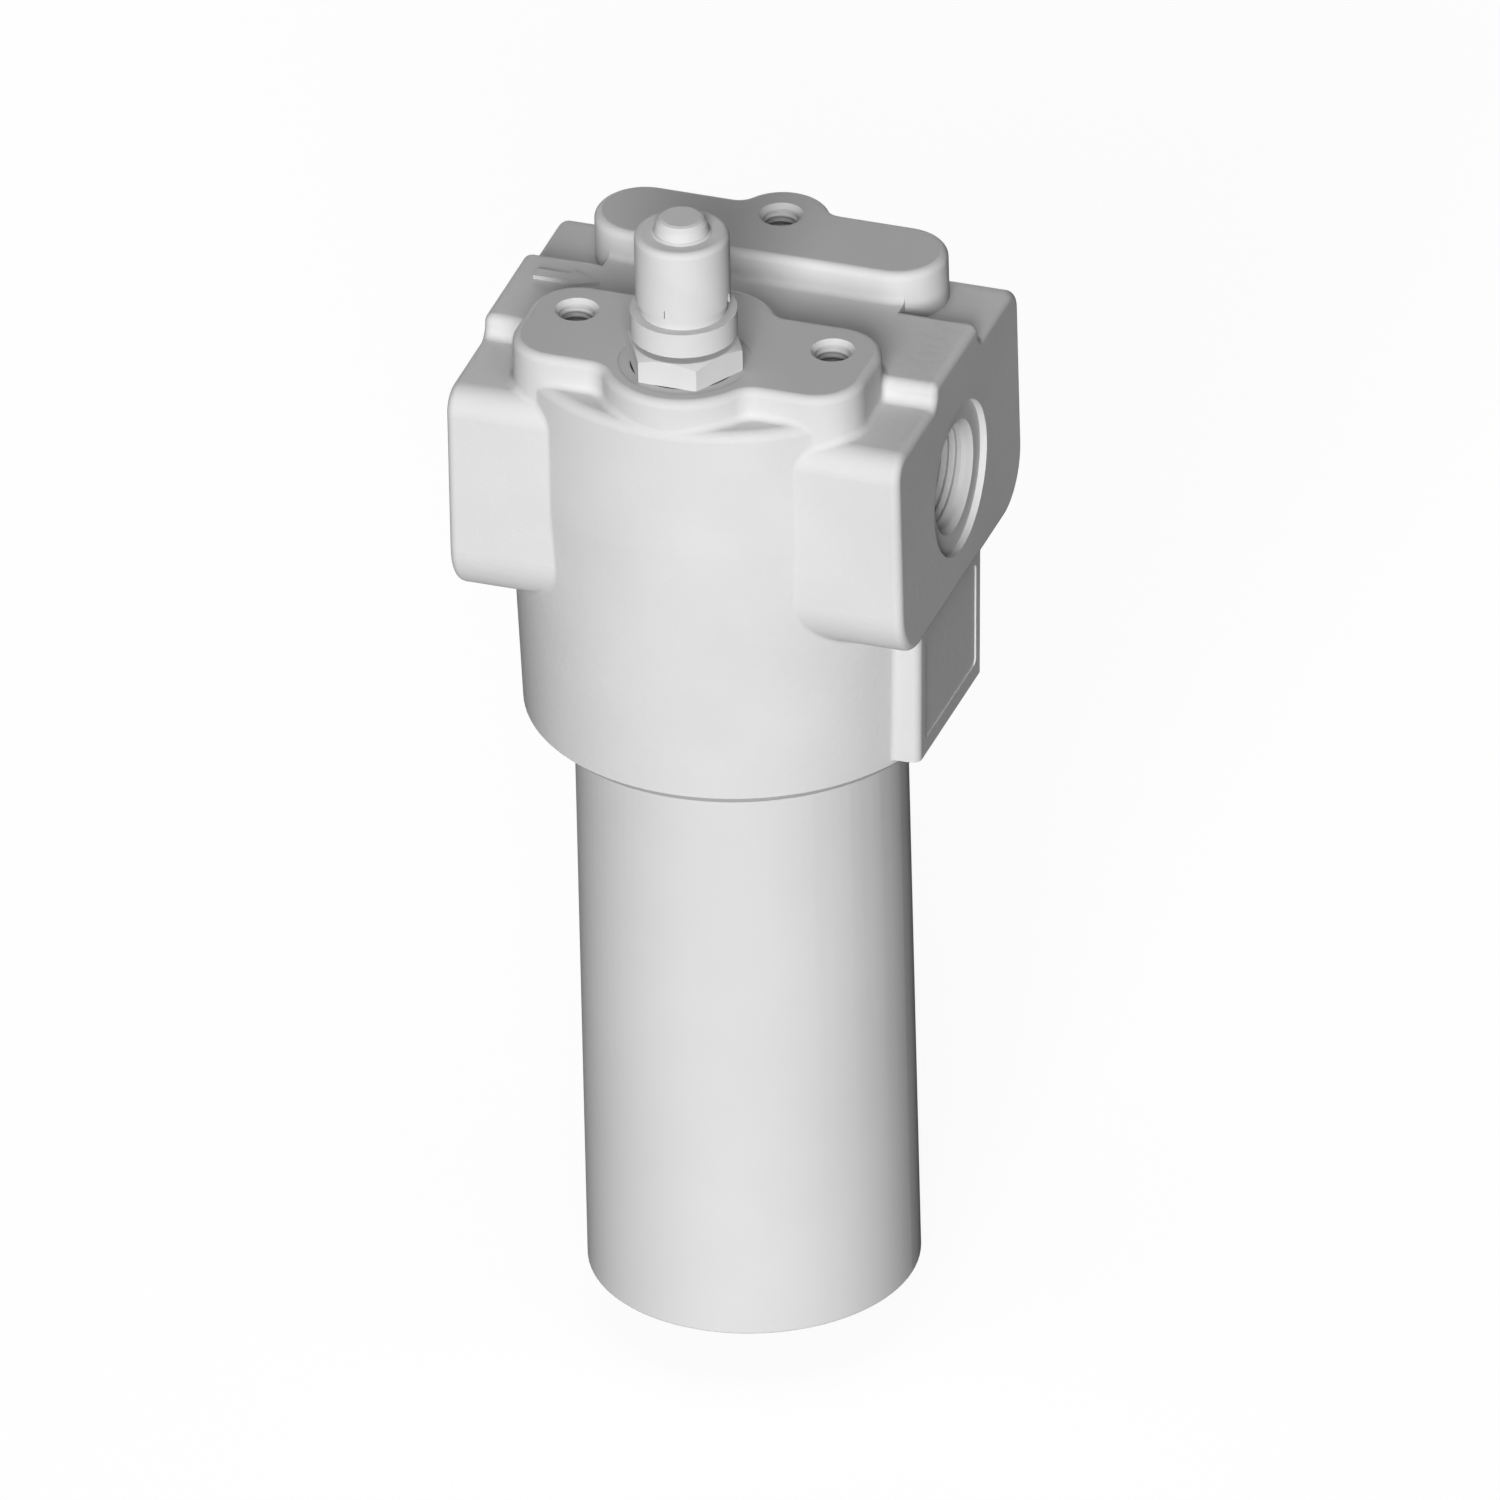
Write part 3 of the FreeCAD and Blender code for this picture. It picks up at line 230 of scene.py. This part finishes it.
def machined_face(name, centre, axis, share=MACHINED_SHARE):
    """A face turned or spot-milled about an axis, under the same thin paint."""
    made = Shader(name, GREY * share, 0.45, specular=MATT)
    marks = made.tool_marks(made.from_axis(centre, axis), 0.6 * MM)
    made.tint(made.noise(40), 0.98, 1.02)
    made.polish(marks, 0.36, 0.46)
    made.relief(marks, 0.01 * MM)
    return made.material


def milled_land_painted_shade():
    """The mounting face, fly-cut in wide shallow arcs about a point far outside it."""
    # Its colour is the grey darkened by painted shade, so the lit lands match the shadowed deck
    made = Shader("milled_land_painted_shade", GREY * LAND_PAINTED_SHADE_SHARE, 0.45, specular=MATT)
    marks = made.tool_marks(made.from_axis((-0.25, -0.6, 0), "Z"), 0.9 * MM)
    made.tint(made.noise(34), 0.98, 1.02)
    made.polish(marks, 0.38, 0.47)
    made.relief(marks, 0.01 * MM)
    return made.material


def bowl_paint():
    """The bowl's smooth drawn and painted wall, with faint turning marks beneath."""
    made = Shader("bowl_paint", GREY, 0.5, specular=MATT)
    marks = made.tool_marks(made.along("Z"), 0.8 * MM)
    made.tint(made.noise(20), 0.975, 1.02)
    made.polish(made.noise(160), 0.40, 0.50)
    made.relief(marks, 0.006 * MM)
    made.relief(made.noise(900, detail=2), 0.012 * MM)
    return made.material


def turned_steel():
    """The indicator's lathe-turned and matt plated steel, marked along its axis and round it."""
    made = Shader("indicator_steel", GREY, 0.36, specular=MATT)
    step = 0.45 * MM
    up = made.tool_marks(made.along("Z"), step)
    out = made.tool_marks(made.from_axis((0, INDICATOR_Y, 0), "Z"), step)
    both = made.node("ShaderNodeMath", {0: up, 1: out}, operation="MULTIPLY").outputs[0]
    made.tint(made.noise(60), 0.97, 1.03)
    made.polish(both, 0.31, 0.44)
    made.relief(both, 0.012 * MM)
    return made.material


def moulded_button():
    """Smooth plastic in the drawing's grey."""
    made = Shader("moulded_button", GREY, 0.45, specular=MATT)
    made.tint(made.noise(120), 0.98, 1.02)
    made.relief(made.noise(1800, detail=2), 0.008 * MM)
    return made.material


def rubber():
    made = Shader("nitrile_rubber", (0.02, 0.02, 0.021), 0.6)
    made.tint(made.noise(300), 0.8, 1.3)
    made.relief(made.noise(2500), 0.01 * MM)
    return made.material


def backup_plastic():
    made = Shader("white_fluoropolymer", (0.82, 0.82, 0.79), 0.35)
    made.tint(made.noise(90), 0.97, 1.0)
    made.relief(made.noise(900), 0.01 * MM)
    return made.material


def filter_media():
    """Pleated glass-fibre sheet with a woven support mesh."""
    made = Shader("pleated_media", (0.78, 0.75, 0.66), 0.85, specular=0.15)
    made.tint(made.noise(220, detail=5), 0.9, 1.05)
    made.relief(made.noise(2600, detail=4, roughness=0.7), 0.05 * MM)
    return made.material


def plated_sheet():
    """Zinc-plated steel sheet, for the element's caps and the bypass valve."""
    made = Shader("zinc_sheet", (0.62, 0.63, 0.64), 0.33, metallic=0.85)
    made.tint(made.noise(55, detail=4), 0.93, 1.04)
    made.polish(made.noise(240), 0.26, 0.42)
    made.relief(made.noise(700), 0.01 * MM)
    return made.material


def spring_steel():
    made = Shader("spring_steel", (0.42, 0.42, 0.43), 0.3, metallic=0.9)
    made.tint(made.noise(400), 0.9, 1.05)
    made.relief(made.noise(1200), 0.01 * MM)
    return made.material


def magnet_metal():
    made = Shader("nickel_magnet", (0.55, 0.54, 0.52), 0.28, metallic=0.9)
    made.tint(made.noise(200), 0.95, 1.03)
    made.relief(made.noise(1500), 0.006 * MM)
    return made.material


def dress(node, *materials):
    """Gives a CAD node its materials; the first one covers it."""
    mesh = frame["nodes"][node].data
    mesh.materials.clear()
    for material in materials:
        mesh.materials.append(material)
    for polygon in mesh.polygons:
        polygon.material_index = 0
    return mesh


def radius_from(point, centre, axis):
    """How far a point lies from an axis through a centre."""
    apart = point - Vector(centre)
    apart["XYZ".index(axis)] = 0
    return apart.length


def dress_head():
    """Cast skin all over, and machined faces where a tool has been."""
    port = (0, 0, PORT_HEIGHT)
    indicator = (0, INDICATOR_Y, 0)
    bowl = (0, 0, 0)
    mesh = dress("filter_head", cast_paint(), milled_land_painted_shade(), machined_face("port_face", port, "X"),
                 machined_face("indicator_face", indicator, "Z", INDICATOR_SPOT_SHARE),
                 machined_face("bore_face", bowl, "Z"))
    land_index, port_index, indicator_index, bore_index = 1, 2, 3, 4
    slack = 0.05 * MM
    for polygon in mesh.polygons:
        at, normal = polygon.center, polygon.normal
        if radius_from(at, port, "X") < PORT_SPOT_RADIUS + slack and abs(at.x) > PORT_BORE_END:
            if abs(at.x) < BLOCK_END - slack or normal.x == 0:
                polygon.material_index = port_index
        elif radius_from(at, indicator, "Z") < INDICATOR_SPOT_RADIUS + slack and at.z > INDICATOR_BORE_END:
            polygon.material_index = indicator_index
        elif at.z > TOP_HEIGHT - slack and normal.z > 0.99:
            # The top lands take the milled material, whose darker colour is painted shade
            polygon.material_index = land_index
        elif radius_from(at, bowl, "Z") < BOWL_BORE_RADIUS and at.z < BOWL_BORE_END:
            polygon.material_index = bore_index


def helix_ridge(name, radius, depth, pitch, turns, steps=48):
    """An inward thread ridge about Z that starts at Z = 0, fades in and out, and closes on itself."""
    mesh = bmesh.new()
    total = int(turns * steps)
    half_root, half_crest = pitch * 0.44, pitch * 0.07
    sunk_root = radius + 0.05 * MM
    fade_steps, thinnest = steps / 2, 0.02
    rings = []
    for i in range(total + 1):
        angle = 2 * math.pi * i / steps
        rise = pitch * i / steps
        fade = thinnest + (1 - thinnest) * min(1.0, i / fade_steps, (total - i) / fade_steps)
        crest = radius - depth * fade
        profile = ((sunk_root, -half_root * fade), (crest, -half_crest),
                   (crest, half_crest), (sunk_root, half_root * fade))
        rings.append([
            mesh.verts.new((r * math.cos(angle), r * math.sin(angle), rise + z)) for r, z in profile])
    for before, after in zip(rings, rings[1:]):
        for k in range(4):
            mesh.faces.new((before[k], after[k], after[(k + 1) % 4], before[(k + 1) % 4]))
    mesh.faces.new(rings[0])
    mesh.faces.new(reversed(rings[-1]))
    bmesh.ops.recalc_face_normals(mesh, faces=mesh.faces)
    data = bpy.data.meshes.new(name)
    mesh.to_mesh(data)
    mesh.free()
    return data


def add_head_thread(name, data, material):
    """Adds a thread ridge as a piece of its own that rides on the head."""
    piece = bpy.data.objects.new(name, data)
    scene.collection.objects.link(piece)
    data.materials.append(material)
    for polygon in data.polygons:
        polygon.use_smooth = True
    data.set_sharp_from_angle(angle=SHARP_ANGLE)
    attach(piece, "head")


def add_port_threads():
    """The parallel pipe thread cut into both ports, 11 turns to the inch."""
    turns = (PORT_MOUTH - PORT_THREAD_END) / PIPE_PITCH - 2 * PLAIN_TURNS
    start = Matrix.Translation((0, 0, PORT_THREAD_END + PLAIN_TURNS * PIPE_PITCH))
    port = Matrix.Translation((0, 0, PORT_HEIGHT))
    for name, turn in (("outlet_thread", math.pi / 2), ("inlet_thread", -math.pi / 2)):
        data = helix_ridge(name, PORT_RADIUS, PIPE_DEPTH, PIPE_PITCH, turns, steps=96)
        data.transform(port @ Matrix.Rotation(turn, 4, "Y") @ start)
        add_head_thread(name, data, machined_face(name + "_cut", (0, 0, PORT_HEIGHT), "X"))


def add_bolt_threads():
    """Coarse 12 mm threads in the three mounting holes."""
    turns = (BOLT_MOUTH - BOLT_THREAD_END) / BOLT_PITCH - 2 * PLAIN_TURNS
    cut = machined_face("bolt_thread_cut", (0, 0, 0), "Z")
    for i, name in enumerate(("rear", "left", "right")):
        angle = math.radians(90 + 120 * i)
        data = helix_ridge("thread_" + name, BOLT_RADIUS, BOLT_DEPTH, BOLT_PITCH, turns)
        data.transform(Matrix.Translation((BOLT_CIRCLE * math.cos(angle), BOLT_CIRCLE * math.sin(angle),
                                           BOLT_THREAD_END + PLAIN_TURNS * BOLT_PITCH)))
        add_head_thread(name + "_bolt_thread", data, cut)


def on_bowl_wall(place, low, high):
    """Whether a place lies on the bowl's outer wall, facets and all, and between two heights."""
    off_wall = abs(math.hypot(place.x, place.y) - BOWL_RADIUS)
    facet_depth, slack = 0.2 * MM, 0.01 * MM
    return off_wall < facet_depth and low - slack < place.z < high + slack


def turn_of(place):
    """How far round Z a place stands, from 0 up to 1."""
    return round(math.atan2(place.y, place.x) / (2 * math.pi), 5) % 1


def bowl_ring_at(mesh, height):
    """New vertices, in order round the wall, on the ones that stand at this height."""
    found = {turn_of(vert.co): vert.co.copy()
             for vert in mesh.verts if on_bowl_wall(vert.co, height, height)}
    return [mesh.verts.new(found[turn]) for turn in sorted(found)]


def stitch(mesh, lower, upper):
    """Triangles between two rings of vertices, which may differ in number."""
    low_turns = [turn_of(vert.co) for vert in lower] + [1 + turn_of(lower[0].co)]
    high_turns = [turn_of(vert.co) for vert in upper] + [1 + turn_of(upper[0].co)]
    lower, upper = lower + lower[:1], upper + upper[:1]
    i = j = 0
    while i < len(lower) - 1 or j < len(upper) - 1:
        if j == len(upper) - 1 or (i < len(lower) - 1 and low_turns[i + 1] <= high_turns[j + 1]):
            mesh.faces.new((lower[i], lower[i + 1], upper[j]))
            i += 1
        else:
            mesh.faces.new((lower[i], upper[j + 1], upper[j]))
            j += 1


def cut_out_band(mesh):
    """Takes the plain band that stands for the thread out of the bowl's wall."""
    bmesh.ops.bisect_plane(mesh, geom=mesh.verts[:] + mesh.edges[:] + mesh.faces[:],
                           plane_co=(0, 0, BOWL_THREAD_START), plane_no=(0, 0, 1))
    band = [face for face in mesh.faces if all(
        on_bowl_wall(vert.co, BOWL_THREAD_START, BOWL_THREAD_END) for vert in face.verts)]
    bmesh.ops.delete(mesh, geom=band, context="FACES")


def add_thread_surface(mesh):
    """A thread that fades in and out between the two edges of the band that was taken out."""
    half_crest, flank = 0.12, 0.76
    height = BOWL_THREAD_END - BOWL_THREAD_START
    rows = round(height / BOWL_PITCH * BOWL_ROWS)
    bottom = bowl_ring_at(mesh, BOWL_THREAD_START)
    top = bowl_ring_at(mesh, BOWL_THREAD_END)
    rings = [bottom]
    for i in range(1, rows):
        z = BOWL_THREAD_START + height * i / rows
        fade = min(1.0, i / BOWL_ROWS, (rows - i) / BOWL_ROWS)
        ring = []
        for k in range(BOWL_COLUMNS):
            turn = k / BOWL_COLUMNS
            angle = 2 * math.pi * turn
            from_crest = 1 - abs(2 * ((z / BOWL_PITCH - turn) % 1) - 1)
            sunk = min(1.0, max(0.0, (from_crest - half_crest) / flank))
            radius = BOWL_RADIUS - BOWL_DEPTH * fade * sunk
            ring.append(mesh.verts.new((radius * math.cos(angle), radius * math.sin(angle), z)))
        rings.append(ring)
    rings.append(top)
    for lower, upper in zip(rings, rings[1:]):
        stitch(mesh, lower, upper)


def thread_bowl():
    """The bowl with its 2 mm thread cut in, which shows once it is unscrewed."""
    data = frame["nodes"]["bowl"].data.copy()
    mesh = bmesh.new()
    mesh.from_mesh(data)
    cut_out_band(mesh)
    plain_faces = len(mesh.faces)
    add_thread_surface(mesh)
    mesh.to_mesh(data)
    mesh.free()
    data.materials.append(machined_face("bowl_thread_cut", (0, 0, 0), "Z"))
    for polygon in data.polygons[plain_faces:]:
        polygon.material_index = 1
        polygon.use_smooth = True
    bowl = bpy.data.objects.new("threaded_bowl", data)
    scene.collection.objects.link(bowl)
    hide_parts("bowl")
    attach(bowl, "bowl")


def dress_nodes():
    """Gives every CAD node its look."""
    dress_head()
    dress("bowl", bowl_paint())
    steel = turned_steel()
    for node in ("indicator_body", "indicator_collar", "indicator_cap", "indicator_piston"):
        dress(node, steel)
    dress("indicator_button", moulded_button())
    black = rubber()
    for node in ("bowl_o_ring", "element_o_ring", "indicator_seal_ring", "indicator_nose_o_ring"):
        dress(node, black)
    dress("bowl_backup_ring", backup_plastic())
    dress("element_pleats", filter_media())
    zinc = plated_sheet()
    for node in ("element_top_cap", "element_bottom_cap", "element_core_tube",
                 "bypass_poppet", "bypass_cage"):
        dress(node, zinc)
    wire = spring_steel()
    for node in ("bypass_spring", "indicator_spring", "button_spring"):
        dress(node, wire)
    nickel = magnet_metal()
    for node in ("button_magnet", "indicator_magnet"):
        dress(node, nickel)


def follow_springs():
    """Gives each spring that a joint deforms a mesh of its own, and swaps the button's spring for a baked
    copy named button_coil.
    """
    for joint in frame["joints"]:
        for spring in joint.get("deforming_nodes", []):
            node = spring["node"]
            if node == "button_spring":
                coil = bpy.data.objects.new("button_coil", frame["nodes"][node].data.copy())
                scene.collection.objects.link(coil)
                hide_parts(node)
                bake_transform(coil)
            else:
                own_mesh(frame["nodes"][node])


def direction(azimuth, elevation):
    """Points from the part towards an azimuth, counted from -Y towards +X, and an elevation."""
    across = math.cos(elevation)
    return Vector((math.sin(azimuth) * across, -math.cos(azimuth) * across, math.sin(elevation)))


def add_camera():
    """The drawing's view, whose verticals lean a little."""
    towards = direction(VIEW_AZIMUTH, VIEW_ELEVATION)
    level = Vector((math.cos(VIEW_AZIMUTH), math.sin(VIEW_AZIMUTH), 0))
    upright = towards.cross(level)
    right = math.cos(VIEW_ROLL) * level - math.sin(VIEW_ROLL) * upright
    up = math.sin(VIEW_ROLL) * level + math.cos(VIEW_ROLL) * upright
    data = bpy.data.cameras.new("camera")
    data.type = "ORTHO"
    data.ortho_scale = VIEW_PIXELS / VIEW_PIXELS_PER_MM * MM
    data.clip_start = VIEW_NEAREST
    data.clip_end = VIEW_FARTHEST
    camera = bpy.data.objects.new("camera", data)
    turn = Matrix((right, up, towards)).transposed().to_4x4()
    place = right * VIEW_CENTRE_RIGHT + up * VIEW_CENTRE_UP + towards * VIEW_DISTANCE
    camera.matrix_world = Matrix.Translation(place) @ turn
    scene.collection.objects.link(camera)
    scene.camera = camera


def add_sun(name, azimuth, elevation, strength, softness):
    data = bpy.data.lights.new(name, "SUN")
    data.energy = strength
    data.angle = math.radians(softness)
    lamp = bpy.data.objects.new(name, data)
    towards = direction(math.radians(azimuth), math.radians(elevation))
    lamp.matrix_world = towards.to_track_quat("Z", "Y").to_matrix().to_4x4()
    scene.collection.objects.link(lamp)


def seen_ray(nodes, links):
    """1 for what the camera sees, straight or in a gloss or through glass, and 0 for light that bounces."""
    path = nodes.new("ShaderNodeLightPath")
    total = path.outputs["Is Camera Ray"]
    for other in ("Is Glossy Ray", "Is Transmission Ray"):
        most = nodes.new("ShaderNodeMath")
        most.operation = "MAXIMUM"
        links.new(total, most.inputs[0])
        links.new(path.outputs[other], most.inputs[1])
        total = most.outputs[0]
    return total


def add_floor():
    """A plain pale floor that reads as white and keeps a soft shadow."""
    material = bpy.data.materials.new("pale_floor")
    material.use_nodes = True
    nodes, links = material.node_tree.nodes, material.node_tree.links
    shader = nodes["Principled BSDF"]
    shader.inputs["Base Color"].default_value = (FLOOR_GREY, FLOOR_GREY, FLOOR_GREY, 1)
    shader.inputs["Roughness"].default_value = 0.9
    shader.inputs["Specular IOR Level"].default_value = MATT
    shader.inputs["Emission Color"].default_value = (1, 1, 1, 1)
    glow = nodes.new("ShaderNodeMath")
    glow.operation = "MULTIPLY"
    glow.inputs[1].default_value = FLOOR_GLOW
    links.new(seen_ray(nodes, links), glow.inputs[0])
    links.new(glow.outputs[0], shader.inputs["Emission Strength"])
    bpy.ops.mesh.primitive_plane_add(size=FLOOR_SIZE, location=(0, 0, FLOOR_HEIGHT))
    floor = bpy.context.object
    floor.name = "floor"
    floor.data.materials.append(material)


def add_world():
    """White to the camera, and only a little light on the part."""
    world = bpy.data.worlds.new("studio")
    world.use_nodes = True
    nodes, links = world.node_tree.nodes, world.node_tree.links
    background = nodes["Background"]
    background.inputs["Color"].default_value = (1, 1, 1, 1)
    level = nodes.new("ShaderNodeMapRange")
    level.inputs["To Min"].default_value = WORLD_LIGHT
    level.inputs["To Max"].default_value = 1.0
    links.new(seen_ray(nodes, links), level.inputs["Value"])
    links.new(level.outputs["Result"], background.inputs["Strength"])
    scene.world = world


add_camera()
dress_nodes()
add_port_threads()
add_bolt_threads()
thread_bowl()
follow_springs()
add_floor()
add_world()
for lamp in LAMPS:
    add_sun(*lamp)
scene.view_settings.view_transform = "Standard"
